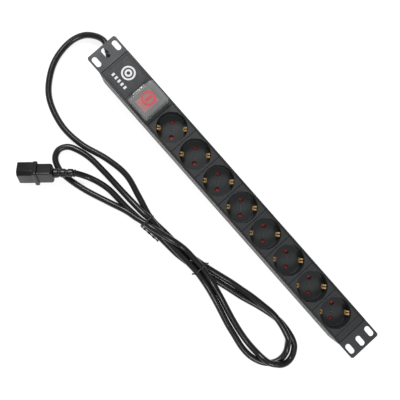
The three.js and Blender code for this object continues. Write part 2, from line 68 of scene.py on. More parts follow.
room = bpy.data.worlds.new("room")
room.use_nodes = True
room.node_tree.nodes["Background"].inputs["Color"].default_value = (0.97, 0.985, 1.0, 1)
room.node_tree.nodes["Background"].inputs["Strength"].default_value = 0.30
bpy.context.scene.world = room
bpy.context.scene.view_settings.view_transform = "Standard"


def soft_lamp(name, place, aim, width, power):
    """A square lamp that faces the aim point."""
    lamp = bpy.data.lights.new(name, "AREA")
    lamp.size = width
    lamp.energy = power
    holder = bpy.data.objects.new(name, lamp)
    holder.location = place
    holder.rotation_mode = "QUATERNION"
    holder.rotation_quaternion = (Vector(aim) - Vector(place)).to_track_quat("-Z", "Y")
    bpy.context.scene.collection.objects.link(holder)


soft_lamp("lamp_left", (-0.80, 0.30, 1.10), (0, 0, 0), 0.45, 10)
soft_lamp("lamp_right", (0.75, -0.55, 1.2), (0, 0, 0), 0.45, 7.5)

MM = 0.001
eye = Vector((-31.37, -70.56, 657.97)) * MM
aim = Vector((-23.92, -29.68, 0)) * MM
up_heading = math.radians(138.45)
up = Vector((math.cos(up_heading), math.sin(up_heading), 0))
ahead = (aim - eye).normalized()
across = ahead.cross(up).normalized()
facing = Matrix((across, across.cross(ahead), -ahead)).transposed().to_4x4()
camera_data = bpy.data.cameras.new("camera")
camera_data.sensor_width = 36
camera_data.lens = 46.10
camera = bpy.data.objects.new("camera", camera_data)
camera.matrix_world = Matrix.Translation(eye) @ facing
bpy.context.scene.collection.objects.link(camera)
bpy.context.scene.camera = camera

# ---- Mains lead ----
# A round three-core lead in black PVC, 8 mm thick. It leaves the gland in the left ear, is folded into
# a hank of two turns and a small loop beside the strip, and ends in a plug.
lead_diameter = 8.0
on_floor = lead_diameter / 2 + 0.3
on_tie = on_floor + 1.8
second = on_floor + lead_diameter + 0.15
third = second + lead_diameter + 0.15
lead_route = [
    # out of the gland and down to the surface
    (-244.3, 9.4, 16.8),
    (-255, 11.6, 14.6),
    (-266, 8.5, 11),
    (-278, -1, 7),
    (-284, -17, on_floor + 0.5),
    (-281.5, -42, on_floor),
    (-271.5, -63.5, on_floor),
    (-249, -86.5, on_floor),
    (-212, -98.5, on_floor),
    (-178, -96.2, on_floor),
    (-141, -84, on_floor),
    (-110, -79.2, on_floor),
    (-78, -85.5, on_floor),
    # the first turn of the hank
    (-48, -92, on_tie),
    (-20, -90.5, on_floor),
    (10, -88.6, on_floor),
    (41, -81.6, on_tie),
    (82, -69.5, on_floor),
    (96, -66, on_floor + 2),
    (109, -62.6, on_floor + 4.4),
    (127, -59.2, second - 1.4),
    (142, -57, second),
    (153, -56.9, second),
    (163.2, -58.2, second),
    (172.5, -60.2, second - 0.7),
    (181.8, -63.2, 10.5),
    (188.2, -68.7, 6.4),
    (193.6, -75.2, on_floor),
    (196, -84, on_floor),
    (195, -92.8, on_floor),
    (190.5, -101, on_floor),
    (181.5, -108.4, on_floor),
    (167.5, -113.6, on_floor),
    (152, -114.3, on_floor),
    (133, -111.2, on_floor),
    (118, -108.5, on_floor),
    (86, -100.5, on_floor + 2.5),
    (62, -95.6, second),
    (41, -93.3, second + 1.4),
    (27, -93.5, second + 1.3),
    (12, -94.2, second + 0.2),
    (-14, -94.8, second),
    (-33, -93.9, second + 1.1),
    (-48, -93.2, second + 1.6),
    (-58, -94.6, second + 0.9),
    # the small loop next to the plug
    (-80, -96, on_floor + 3),
    (-106, -96.8, on_floor),
    (-132, -97.4, on_floor),
    (-157, -99.4, on_floor),
    (-173.2, -104, on_floor),
    (-185.2, -110.8, on_floor),
    (-189.8, -121.4, on_floor),
    (-185.8, -131, on_floor),
    (-175.6, -136.6, on_floor),
    (-160.8, -137.6, on_floor),
    (-132.4, -131.3, on_floor),
    (-100, -119, on_floor + 2),
    # the second turn
    (-74, -108.6, second - 0.4),
    (-60, -105, second + 1.6),
    (-48, -101.1, third - 4.4),
    (-41.5, -99.4, third - 1.5),
    (-35, -97.5, third + 0.2),
    (-27, -95.2, third + 0.7),
    (-19, -92.8, third + 0.2),
    (-12, -90.7, third - 0.9),
    (-5, -88.7, third - 3),
    (3, -86.9, second + 1.6),
    (13, -85.6, second + 0.5),
    (26, -85.2, second + 1.4),
    (41, -85, second + 1.4),
    (54, -86.4, second + 1.4),
    (64, -87.9, second + 0.4),
    (86, -92.2, on_floor + 2.5),
    (118, -99.8, on_floor),
    (140, -103.5, on_floor),
    (156, -104.7, on_floor),
    (171, -104.3, on_floor + 2),
    (179.5, -103.2, second - 1.9),
    (187.5, -100.9, second),
    (194, -96.4, second),
    (199.3, -91.6, second - 0.9),
    (202.9, -86.4, on_floor + 4.3),
    (204.3, -81.2, on_floor + 1.8),
    (204, -76, on_floor + 0.3),
    (201.5, -70.3, on_floor),
    (197.4, -64.9, on_floor),
    (193.2, -61.5, on_floor),
    (186.2, -58.8, on_floor),
    (173, -56.5, on_floor),
    (160, -56.2, on_floor),
    (147.3, -58.3, on_floor),
    (126, -64.2, on_floor),
    (104, -71.9, on_floor),
    (82, -78, on_floor),
    (41, -90, on_tie),
    # back along the hank and up into the plug
    (10, -97.2, on_floor),
    (-20, -99.4, on_floor),
    (-48, -102.6, on_tie),
    (-78, -106, on_floor),
    (-110, -107.6, on_floor),
    (-126, -111.5, on_floor + 0.3),
    (-137.6, -116.2, 5.9),
    (-145.6, -120.6, 9.8),
    (-150.3, -123.8, 14.1),
    (-153.9, -126.9, 16.5),
]


def smooth_path(points, steps):
    """A centripetal Catmull-Rom curve: between two points it is the cubic whose end slopes come from the
    neighbours, weighed by the square roots of the distances. The end points' missing neighbours are
    mirror images of the next ones in. Each span is cut into the given number of steps."""
    p = np.array(points, float)
    p = np.vstack([2 * p[0] - p[1], p, 2 * p[-1] - p[-2]])
    knots = np.sqrt(np.linalg.norm(np.diff(p, axis=0), axis=1))[:, None]
    k0, k1, k2 = knots[:-2], knots[1:-1], knots[2:]
    a, b, c, d = p[:-3], p[1:-2], p[2:-1], p[3:]
    slope_b = k1 * ((b - a) / k0 - (c - a) / (k0 + k1) + (c - b) / k1)
    slope_c = k1 * ((c - b) / k1 - (d - b) / (k1 + k2) + (d - c) / k2)
    t = (np.arange(steps) / steps)[None, :, None]
    b, c, slope_b, slope_c = (v[:, None, :] for v in (b, c, slope_b, slope_c))
    square = -3 * b + 3 * c - 2 * slope_b - slope_c
    cube = 2 * b - 2 * c + slope_b + slope_c
    spans = b + slope_b * t + square * t**2 + cube * t**3
    return np.vstack([spans.reshape(-1, 3), p[-2]])


def level_axes(path):
    """At each point of a path, the level direction square to it and the direction square to both."""
    along = np.gradient(path, axis=0)
    along /= np.linalg.norm(along, axis=1, keepdims=True)
    side = np.cross(along, (0, 0, 1))
    side /= np.linalg.norm(side, axis=1, keepdims=True)
    return side, np.cross(side, along)


def carried(path, section):
    """A section carried along a path: point (i, j) is path point i plus the section's width j along the
    level side direction and its height j along the other. The section is (columns, 2), or (rows,
    columns, 2) where it changes on the way. Both ends are drawn in to the path, which closes them."""
    side, above = level_axes(path)
    section = np.broadcast_to(section, (len(path), *np.shape(section)[-2:]))
    rings = (
        path[:, None, :]
        + section[:, :, 0, None] * side[:, None, :]
        + section[:, :, 1, None] * above[:, None, :]
    )
    first = np.broadcast_to(path[0], rings[:1].shape)
    last = np.broadcast_to(path[-1], rings[:1].shape)
    return np.concatenate([first, rings, last])


def circle(radius, count):
    """Points evenly round a circle, as (count, 2). With an array of radii, one circle for each."""
    angle = 2 * np.pi * np.arange(count) / count
    ring = np.stack([np.cos(angle), np.sin(angle)], -1)
    return np.multiply.outer(radius, ring)


def sheet_faces(grid, closed=True):
    """A grid of points (rows, columns, 3) as points and four-sided faces between neighbours. A closed
    grid also joins its last column to its first."""
    rows, columns = grid.shape[:2]
    index = np.arange(rows * columns).reshape(rows, columns)
    if closed:
        index = np.hstack([index, index[:, :1]])
    corners = [index[:-1, :-1], index[1:, :-1], index[1:, 1:], index[:-1, 1:]]
    return grid.reshape(-1, 3), np.stack(corners, -1).reshape(-1, 4)


def piece_of(name, surfaces, material, body, stands_for=(), crease=32):
    """One piece from surfaces in millimetres: their points are merged where they meet, the faces are
    turned outwards, and edges sharper than the crease angle stay sharp. It rides on a body, takes a
    material slot and stands for its CAD nodes."""
    points, faces, count = [], [], 0
    for surface_points, surface_faces in surfaces:
        points.append(surface_points)
        faces.append(surface_faces + count)
        count += len(surface_points)
    mesh = bpy.data.meshes.new(name)
    mesh.from_pydata((np.concatenate(points) * MM).tolist(), [], np.concatenate(faces).tolist())
    shape = bmesh.new()
    shape.from_mesh(mesh)
    bmesh.ops.remove_doubles(shape, verts=shape.verts, dist=2e-6)
    bmesh.ops.recalc_face_normals(shape, faces=shape.faces)
    shape.to_mesh(mesh)
    shape.free()
    mesh.shade_smooth()
    mesh.set_sharp_from_angle(angle=math.radians(crease))
    mesh.materials.append(material)
    piece = bpy.data.objects.new(name, mesh)
    bpy.context.scene.collection.objects.link(piece)
    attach(piece, body)
    if stands_for:
        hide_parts(*stands_for)
    return piece


def finish(name, tones, patch, roughness, grain, depth, metallic=0.0, stretch=(1, 1, 1)):
    """A surface whose colour wanders between two tones in patches of the given size in millimetres, its
    roughness with it, and whose fine grain stands up by the depth in millimetres."""
    material = bpy.data.materials.new(name)
    material.use_nodes = True
    nodes, links = material.node_tree.nodes, material.node_tree.links
    shader = nodes["Principled BSDF"]
    shader.inputs["Metallic"].default_value = metallic
    place = nodes.new("ShaderNodeTexCoord")
    scaled = nodes.new("ShaderNodeMapping")
    scaled.inputs["Scale"].default_value = stretch
    links.new(place.outputs["Object"], scaled.inputs["Vector"])
    patches = nodes.new("ShaderNodeTexNoise")
    patches.inputs["Scale"].default_value = 1 / (patch * MM)
    patches.inputs["Detail"].default_value = 5
    patches.inputs["Roughness"].default_value = 0.6
    links.new(scaled.outputs["Vector"], patches.inputs["Vector"])
    tone = nodes.new("ShaderNodeMix")
    tone.data_type = "RGBA"
    tone.inputs["A"].default_value = (*tones[0], 1)
    tone.inputs["B"].default_value = (*tones[1], 1)
    links.new(patches.outputs["Fac"], tone.inputs["Factor"])
    links.new(tone.outputs["Result"], shader.inputs["Base Color"])
    gloss = nodes.new("ShaderNodeMapRange")
    gloss.inputs["From Min"].default_value = 0.3
    gloss.inputs["From Max"].default_value = 0.7
    gloss.inputs["To Min"].default_value = roughness[0]
    gloss.inputs["To Max"].default_value = roughness[1]
    links.new(patches.outputs["Fac"], gloss.inputs["Value"])
    links.new(gloss.outputs["Result"], shader.inputs["Roughness"])
    grains = nodes.new("ShaderNodeTexNoise")
    grains.inputs["Scale"].default_value = 1 / (grain * MM)
    grains.inputs["Detail"].default_value = 2
    links.new(scaled.outputs["Vector"], grains.inputs["Vector"])
    lift = nodes.new("ShaderNodeBump")
    lift.inputs["Strength"].default_value = 1.0
    lift.inputs["Distance"].default_value = depth * MM
    links.new(grains.outputs["Fac"], lift.inputs["Height"])
    links.new(lift.outputs["Normal"], shader.inputs["Normal"])
    return material


lead_pvc = finish(
    "lead_pvc", ((0.006, 0.006, 0.0065), (0.011, 0.011, 0.0115)), 9, (0.26, 0.32), 0.6, 0.0015
)
lead_path = smooth_path(lead_route, 12)
lead_section = circle(lead_diameter / 2, 20)
lead = piece_of(
    "lead_sheath",
    [sheet_faces(carried(lead_path, lead_section))],
    lead_pvc,
    "strip",
    ["mains_lead"],
)

# ---- Gland and strain reliefs ----
# The gland is a moulded rubber bush with a lock ring inside the ear. A ribbed, tapered relief is
# moulded on to it, and a like one is moulded on to the plug, so that the lead can't kink there.
soft_rubber = finish(
    "soft_rubber", ((0.006, 0.006, 0.0065), (0.013, 0.013, 0.014)), 7, (0.38, 0.5), 0.35, 0.010
)


def ribbed_relief(path, start_radius, end_radius, ribs, groove):
    """A round taper along a path whose radius falls evenly from start to end, with evenly spaced ribs:
    the radius drops by the groove depth wherever a sine wave, squared off, is low."""
    share = np.linspace(0, 1, len(path))
    wave = np.tanh(4 * np.sin(2 * np.pi * (ribs * share - 0.25)) + 2.2)
    radius = start_radius + (end_radius - start_radius) * share - groove * (1 - wave) / 2
    return carried(path, circle(radius, 32))


gland_relief_path = smooth_path(
    [(-220.5, 0, 20), (-225.3, 1.2, 20), (-234.0, 4.6, 18.9), (-243, 8.9, 17.1), (-247, 10.1, 16.2)], 22
)
gland_relief = piece_of(
    "gland_relief_ribbed",
    [sheet_faces(ribbed_relief(gland_relief_path, 6.4, 4.7, 7, 0.9))],
    soft_rubber,
    "strip",
    ["gland_strain_relief"],
)

# ---- Ties ----
# Two black twist ties hold the hank. Each is a soft flat strip with a wire in it, laid round the
# bundle as a loop, and its two ends are twisted together.
tie_width = 2.0
tie_thickness = 0.7


def rounded_outline(sides, sharpness, count):
    """A convex outline with rounded corners, as (count, 2): in every direction its radius is the smooth
    minimum of the distances to its sides. A side is (distance from the centre, direction in degrees)."""
    angle = 2 * np.pi * np.arange(count) / count
    reach = sum(
        (np.maximum(np.cos(angle - math.radians(direction)), 0) / distance) ** sharpness
        for distance, direction in sides
    )
    radius = reach ** (-1 / sharpness)
    return np.stack([radius * np.cos(angle), radius * np.sin(angle)], -1)


def tie_loop(x, y, z, half_width, half_height):
    """A flat band round the bundle: rows go round the rounded outline in the YZ plane, columns go round
    the band's own section, which is an oval as wide as the band."""
    outline = rounded_outline(
        [(half_width, 0), (half_height, 90), (half_width, 180), (half_height, 270)], 5, 72
    )
    outward = outline / np.linalg.norm(outline, axis=1, keepdims=True)
    turn = 2 * np.pi * np.arange(12) / 12
    inset = tie_thickness / 2 * (1 - np.sin(turn))
    grid = np.empty((len(outline), len(turn), 3))
    grid[..., 0] = x + tie_width / 2 * np.cos(turn)
    grid[..., 1:] = outline[:, None, :] - outward[:, None, :] * inset[None, :, None] + (y, z)
    return sheet_faces(np.concatenate([grid, grid[:1]]))


def twisted_tail(points, turns):
    """The two ends of a tie as one strip, 2.4 by 1.4 mm, whose oval section turns evenly round its path
    as it goes along."""
    path = smooth_path(points, 16)
    oval = circle(1.0, 12) * (1.2, 0.7)
    angle = 2 * np.pi * turns * np.linspace(0, 1, len(path))
    cosine, sine = np.cos(angle)[:, None], np.sin(angle)[:, None]
    wide = cosine * oval[:, 0] - sine * oval[:, 1]
    high = sine * oval[:, 0] + cosine * oval[:, 1]
    return sheet_faces(carried(path, np.stack([wide, high], -1)))


tail_beside_hank = [
    (-49, -107, 10),
    (-47, -107.7, 6.6),
    (-40, -106.9, 5),
    (-30, -105.8, 4.4),
    (-20, -104.6, 4.3),
]
near_plug_tie = piece_of(
    "near_plug_twist_tie",
    [tie_loop(-48, -97.3, 11.2, 10.05, 9.9), twisted_tail(tail_beside_hank, 2.5)],
    soft_rubber,
    "strip",
    ["tie_near_plug"],
)
near_loop_tie = piece_of(
    "near_loop_twist_tie",
    [
        tie_loop(41, -87.45, 10, 10.6, 8.6),
        twisted_tail([(40.6, -97.6, 12), (40, -98.8, 11.6), (39.4, -99.6, 10)], 0.5),
        twisted_tail([(41.4, -77.3, 12), (42, -76.2, 11.6), (42.6, -75.6, 10)], 0.5),
    ],
    soft_rubber,
    "strip",
    ["tie_near_loop"],
)

# ---- Plug ----
# A moulded plug for an appliance-type outlet: a shroud with two cut corners round three flat nickelled
# pins, a collar to pull it by, and a smooth square rear half, moulded on to the lead.
plug_mouth = np.array([-196.4, -176.6, 16.7])
plug_heading = math.radians(49.5)
plug_roll = math.radians(-28)
plug_rubber = finish(
    "plug_rubber", ((0.004, 0.004, 0.0045), (0.008, 0.008, 0.0085)), 8, (0.26, 0.34), 0.4, 0.008
)


def on_plug(points):
    """Points drawn with the plug's axis along X and its mouth at x = 0, rolled about that axis, turned
    to the plug's heading and moved to its mouth."""
    roll = np.array(Matrix.Rotation(plug_roll, 3, "X"))
    heading = np.array(Matrix.Rotation(plug_heading, 3, "Z"))
    return points @ roll.T @ heading.T + plug_mouth


def lofted(stations, sections):
    """Sections (rows, columns, 2) set square to X at the stations. Both ends are drawn in to the axis."""
    rows, columns = sections.shape[:2]
    grid = np.empty((rows + 2, columns, 3))
    grid[1:-1, :, 0] = np.array(stations)[:, None]
    grid[1:-1, :, 1:] = sections
    grid[0], grid[-1] = (stations[0], 0, 0), (stations[-1], 0, 0)
    return grid


def shroud_outline(inset):
    """The shroud's section as (y, z), with two corners cut at 45 degrees on the -y side."""
    y, z = shroud_width / 2 - inset, shroud_height / 2 - inset
    cut = (shroud_width / 2 + shroud_height / 2 - shroud_cut) / math.sqrt(2) - inset
    sides = [(y, 0), (z, 90), (cut, 135), (y, 180), (cut, 225), (z, 270)]
    return rounded_outline(sides, 40, 160)


def brick_outline(width, height, sharpness):
    """A rectangle as (y, z) with rounded corners."""
    sides = [(width / 2, 0), (height / 2, 90), (width / 2, 180), (height / 2, 270)]
    return rounded_outline(sides, sharpness, 160)


shroud_width, shroud_height, shroud_cut, shroud_wall = 17.6, 25.4, 4, 1.2
shroud_rows = [(16, shroud_wall), (15.5, shroud_wall), (0.4, shroud_wall), (0.1, 1.0), (0, 0.6)]
shroud_rows += [(0.1, 0.2), (0.5, 0), (19, 0)]
shroud_sections = np.stack([shroud_outline(inset) for _, inset in shroud_rows])

collar_width, collar_height = 20, 26.4
collar_rows = [(18.8, 0.9), (18.95, 0.35), (19.4, 0), (23.2, 0), (23.65, 0.35), (23.8, 0.9)]
collar_sections = np.stack(
    [brick_outline(collar_width - 2 * inset, collar_height - 2 * inset, 16) for _, inset in collar_rows]
)

rear_width, rear_height, rear_start, rear_end, rear_round = 16, 20.5, 23.3, 42.1, 3.5
rear_straight = np.linspace(rear_start, rear_end - rear_round, 4)
rear_turn = np.linspace(0.1, np.pi / 2, 14)
rear_stations = np.concatenate([rear_straight, rear_end - rear_round + rear_round * np.sin(rear_turn)])
rear_insets = 0.8 * rear_round * (1 - np.cos(np.concatenate([np.zeros(4), rear_turn])))
rear_sections = np.stack(
    [brick_outline(rear_width - 2 * inset, rear_height - 2 * inset, 14) for inset in rear_insets]
)
plug_parts = [
    lofted([x for x, _ in shroud_rows], shroud_sections),
    lofted([x for x, _ in collar_rows], collar_sections),
    lofted(rear_stations, rear_sections),
]
plug_body = piece_of(
    "plug_moulding",
    [sheet_faces(on_plug(part)) for part in plug_parts],
    plug_rubber,
    "strip",
    ["plug_body"],
    crease=40,
)
on_axis = on_plug(np.array([(41, 0, 0), (47, 0, 0), (53, 0, 0), (59, 0, 0)]))
plug_relief_path = smooth_path([*on_axis, (-153.9, -126.9, 16.5), (-151.9, -125.2, 15.4)], 20)
plug_relief = piece_of(
    "plug_relief_ribbed",
    [sheet_faces(ribbed_relief(plug_relief_path, 6.1, 4.9, 3.5, 1.0))],
    plug_rubber,
    "strip",
    ["plug_strain_relief"],
)


def softened(name, width, segments=2):
    """A CAD piece's edges rounded by a narrow bevel, after its loose triangles are welded together."""
    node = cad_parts[name]
    weld = node.modifiers.new("weld", "WELD")
    weld.merge_threshold = 2e-6
    bevel = node.modifiers.new("edge", "BEVEL")
    bevel.width = width * MM
    bevel.segments = segments
    bevel.limit_method = "ANGLE"
    bevel.angle_limit = math.radians(32)
    bevel.harden_normals = False
    return node


def clad(name, material):
    """A CAD piece with one material over all its faces."""
    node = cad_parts[name]
    node.data.materials.clear()
    node.data.materials.append(material)
    return node


nickel_tones = ((0.62, 0.60, 0.56), (0.70, 0.68, 0.64))
nickel = finish("nickelled_brass", nickel_tones, 5, (0.22, 0.34), 0.3, 0.003, metallic=1.0)
for pole in ("live", "neutral", "earth"):
    softened(f"plug_pin_{pole}", 0.35)
    clad(f"plug_pin_{pole}", nickel)
softened("cable_gland", 0.4)
clad("cable_gland", soft_rubber)

# ---- Aluminium channel ----
# One black anodised extrusion: floor, two ribbed walls, lips over the modules and two screw ports.
# The modules slide in from its ends, which the ears then close.
anodised = finish(
    "black_anodised",
    ((0.030, 0.030, 0.027), (0.046, 0.045, 0.040)),
    30,
    (0.36, 0.48),
    0.9,
    0.004,
    metallic=0.35,
    stretch=(0.08, 1, 1),
)
softened("housing_channel", 0.12)
clad("housing_channel", anodised)

# ---- Ears and their screws ----
# Angles punched and bent from 2 mm steel and powder coated in black. Two zinc plated screws run
# through each leg into the channel's screw ports.
powder_coat = finish(
    "black_powder_coat", ((0.026, 0.029, 0.031), (0.040, 0.043, 0.046)), 18, (0.42, 0.54), 0.55, 0.026
)
zinc = finish(
    "zinc_plate", ((0.50, 0.51, 0.53), (0.62, 0.63, 0.66)), 2, (0.26, 0.40), 0.3, 0.004, metallic=1.0
)
for end in ("left", "right"):
    softened(f"ear_{end}", 0.25)
    clad(f"ear_{end}", powder_coat)
    for side in ("front", "rear"):
        softened(f"screw_{end}_{side}", 0.25)
        clad(f"screw_{end}_{side}", zinc)

# ---- Label module ----
# A blank moulded module over the wiring space, held down by the channel's lips. A shallow panel in its
# face carries a plain white print.
moulded_black = finish(
    "moulded_black", ((0.017, 0.0185, 0.020), (0.027, 0.029, 0.031)), 5, (0.46, 0.58), 0.35, 0.014
)
softened("label_plate", 0.15)
clad("label_plate", moulded_black)
white_ink = finish("white_ink", ((0.70, 0.72, 0.74), (0.86, 0.87, 0.88)), 3, (0.45, 0.6), 0.2, 0.003)
ink_height = 0.06


def flat_ring(centre, inner, outer, bottom):
    """A flat ring with a thickness: its rows run round its section, inner top, outer top, outer bottom
    and inner bottom, and its columns go round the ring."""
    count = 72
    angle = 2 * np.pi * np.arange(count) / count
    radius = np.array([inner, outer, outer, inner, inner])
    height = bottom + ink_height * np.array([1, 1, 0, 0, 1])
    grid = np.empty((5, count, 3))
    grid[..., 0] = centre[0] + radius[:, None] * np.cos(angle)
    grid[..., 1] = centre[1] + radius[:, None] * np.sin(angle)
    grid[..., 2] = height[:, None]
    return sheet_faces(grid)


def flat_bar(x0, x1, y0, y1, bottom):
    """A thin rectangular bar of print: its four corners, bottom and top, drawn in at both ends."""
    corners = np.array([(x0, y0), (x1, y0), (x1, y1), (x0, y1)])
    middle = corners.mean(0)
    grid = np.empty((4, 4, 3))
    grid[0, :, :2] = grid[3, :, :2] = middle
    grid[1:3, :, :2] = corners
    grid[..., 2] = bottom + ink_height * np.array([0, 0, 1, 1])[:, None]
    return sheet_faces(grid)


panel_depth = 0.4
panel_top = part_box("label_plate")[1].z / MM - panel_depth
mark = np.array([-195.8, 4.3])
mark_print = [flat_ring(mark, inner, outer, panel_top) for inner, outer in ((6.6, 8.8), (2.2, 4.6))]
for x in mark[0] + np.linspace(-10.5, 10.5, 5):
    mark_print.append(flat_bar(x - 1.4, x + 1.4, -12.6, -8.4, panel_top))
piece_of("label_print", mark_print, white_ink, "strip")

# ---- Switch ----
# A red rocker in a black switch body, clipped into a bezel module. A clear hinged cover over it keeps
# it from being knocked; the cover turns on a steel pin through two knuckles of the bezel.
softened("switch_bezel", 0.15)
clad("switch_bezel", moulded_black)
softened("switch_body", 0.3)
clad("switch_body", moulded_black)
softened("cover_hinge_pin", 0.15)
clad("cover_hinge_pin", zinc)
brass_tones = ((0.95, 0.55, 0.20), (1.0, 0.68, 0.30))
brass = finish("brass_sheet", brass_tones, 4, (0.24, 0.36), 0.3, 0.004, metallic=0.7)
for pole in ("live", "neutral"):
    for run in ("in", "out"):
        softened(f"switch_terminal_{pole}_{run}", 0.1)
        clad(f"switch_terminal_{pole}_{run}", brass)
signal_red_tones = ((0.70, 0.020, 0.030), (0.82, 0.050, 0.060))
signal_red = finish("signal_red", signal_red_tones, 6, (0.25, 0.38), 0.5, 0.004)
softened("rocker", 0.6, 3)
clad("rocker", signal_red)

clear = finish("clear_plastic", ((0.42, 0.425, 0.42), (0.50, 0.505, 0.50)), 14, (0.10, 0.18), 5, 0.002)
clear.node_tree.nodes["Principled BSDF"].inputs["Alpha"].default_value = 0.27


def rounded_box(width, height, radius, per_corner=9):
    """A rectangle with round corners round the origin: four quarter circles joined by its sides."""
    angle = np.linspace(0, np.pi / 2, per_corner) + np.arange(4)[:, None] * np.pi / 2
    middle = np.array([(1, 1), (-1, 1), (-1, -1), (1, -1)]) * (width / 2 - radius, height / 2 - radius)
    arcs = middle[:, None, :] + radius * np.stack([np.cos(angle), np.sin(angle)], -1)
    return arcs.reshape(-1, 2)


def shell_grid(x, y, width, length, radius, rows):
    """A rounded box outline set level at each row's height, drawn in by the row's inset, with both ends
    closed at the middle. A row is (inset, height)."""
    grid = np.empty((len(rows) + 2, 36, 3))
    for number, (inset, height) in enumerate(rows, 1):
        outline = rounded_box(width - 2 * inset, length - 2 * inset, max(radius - inset, 0.2))
        grid[number, :, :2] = outline + (x, y)
        grid[number, :, 2] = height
    grid[0], grid[-1] = (x, y, rows[0][1]), (x, y, rows[-1][1])
    return grid


def tube_grid(x, z, inner, outer, y0, y1):
    """A tube along Y: its rows run round its wall's section and its columns round the tube."""
    count = 32
    angle = 2 * np.pi * np.arange(count) / count
    radius = np.array([outer, outer, inner, inner, outer])
    grid = np.empty((5, count, 3))
    grid[..., 0] = x + radius[:, None] * np.cos(angle)
    grid[..., 1] = np.array([y0, y1, y1, y0, y0])[:, None]
    grid[..., 2] = z + radius[:, None] * np.sin(angle)
    return grid


cover_x, cover_length, cover_width, cover_corner = -153.7, 32.6, 37.8, 3
cover_top, cover_rim, cover_wall, half_way = 56.4, 44.3, 1.4, 50
outer_bend, inner_bend = 1.9, 1.1
cover_ceiling = cover_top - cover_wall
bend = np.linspace(0, np.pi / 2, 7)
cover_rows = [(4, cover_top), (2.3, cover_top)]
cover_rows += [(outer_bend * (1 - math.sin(t)), cover_top - outer_bend * (1 - math.cos(t))) for t in bend]
cover_rows += [(0, half_way), (0, cover_rim + 0.3), (0.2, cover_rim + 0.1), (0.5, cover_rim)]
cover_rows += [(0.9, cover_rim), (1.2, cover_rim + 0.1), (cover_wall, cover_rim + 0.3)]
cover_rows.append((cover_wall, half_way))
cover_rows += [
    (cover_wall + inner_bend * (1 - math.cos(t)), cover_ceiling - inner_bend * (1 - math.sin(t)))
    for t in bend
]
cover_rows += [(2.9, cover_ceiling), (4.6, cover_ceiling)]
hinge_x, hinge_z, hinge_half = -172, 46, 8.7
web_rows = [(0.4, 45.0), (0, 45.2), (0, 47.1), (0.4, 47.3)]
piece_of(
    "cover_shell",
    [
        sheet_faces(shell_grid(cover_x, 0, cover_length, cover_width, cover_corner, cover_rows)),
        sheet_faces(tube_grid(hinge_x, hinge_z, 1.1, 1.5, -hinge_half, hinge_half)),
        sheet_faces(shell_grid(hinge_x + 1.5, 0, 3, 2 * hinge_half, 0.3, web_rows)),
    ],
    clear,
    "switch_cover",
    ["switch_cover"],
)
red_ink = finish("red_ink", ((0.62, 0.02, 0.03), (0.74, 0.05, 0.06)), 3, (0.4, 0.55), 0.2, 0.003)
ring_x, ring_y = -155, 1
piece_of(
    "cover_print",
    [
        flat_ring((ring_x, ring_y), 6.9, 8.4, cover_top),
        flat_bar(ring_x - 0.9, ring_x + 0.9, ring_y - 5.2, ring_y + 5.2, cover_top),
    ],
    red_ink,
    "switch_cover",
)

# ---- Sockets ----
# Eight moulded modules, each a face plate with a round cup. The cup floor has two pin holes on the
# module's diagonal, over a red shutter. The wall has a bay for each side of the earth clip, which is
# bent from brass sheet, and four small notches.
shutter_tones = ((0.30, 0.012, 0.014), (0.42, 0.022, 0.024))
shutter_red = finish("shutter_red", shutter_tones, 4, (0.35, 0.5), 0.4, 0.006)
columns = 128
column = np.arange(columns)
cup_angle = 2 * np.pi * column / columns
from_clip = np.abs(column % (columns // 2) - columns // 4)
in_bay = from_clip <= 3
in_notch = (from_clip >= 25) & (from_clip <= 27)
quarter_turn = np.linspace(0, np.pi / 2, 5)


def diagonal(points):
    """Points drawn with the pins on the X axis, turned so that the pins stand on the diagonal."""
    return points @ np.array(Matrix.Rotation(math.radians(-45), 3, "Z")).T


def box_outline(half_x, half_y, count):
    """Evenly spaced points round a rectangle, anticlockwise from the middle of its +X side."""
    stations = np.cumsum([0, half_y, 2 * half_x, 2 * half_y, 2 * half_x, half_y])
    distance = stations[-1] * np.arange(count) / count
    x = np.interp(distance, stations, np.array([1, 1, -1, -1, 1, 1]) * half_x)
    y = np.interp(distance, stations, np.array([0, 1, 1, -1, -1, 0]) * half_y)
    return np.stack([x, y], -1)


def level_ring(outline, height):
    """An outline set level at one height, or at each column's own height."""
    return np.concatenate([outline, np.broadcast_to(height, len(outline))[:, None]], -1)


def cup_ring(radius, height):
    """Points on a circle at the cup's columns. Radius and height may differ from column to column."""
    ring = np.stack([np.cos(cup_angle), np.sin(cup_angle)], -1) * np.broadcast_to(radius, columns)[:, None]
    return diagonal(level_ring(ring, height))


def plate_ring(half_x, half_y, height):
    """A rectangle met by rays at the cup's columns. The ray nearest to each corner goes to the corner."""
    angle = cup_angle - np.pi / 4
    corners = np.arctan2(np.array([1, 1, -1, -1]) * half_y, np.array([1, -1, -1, 1]) * half_x)
    apart = np.abs(np.angle(np.exp(1j * (angle - corners[:, None]))))
    angle[apart.argmin(1)] = corners
    reach = 1 / np.maximum(np.abs(np.cos(angle)) / half_x, np.abs(np.sin(angle)) / half_y)
    return level_ring(np.stack([np.cos(angle), np.sin(angle)], -1) * reach[:, None], height)


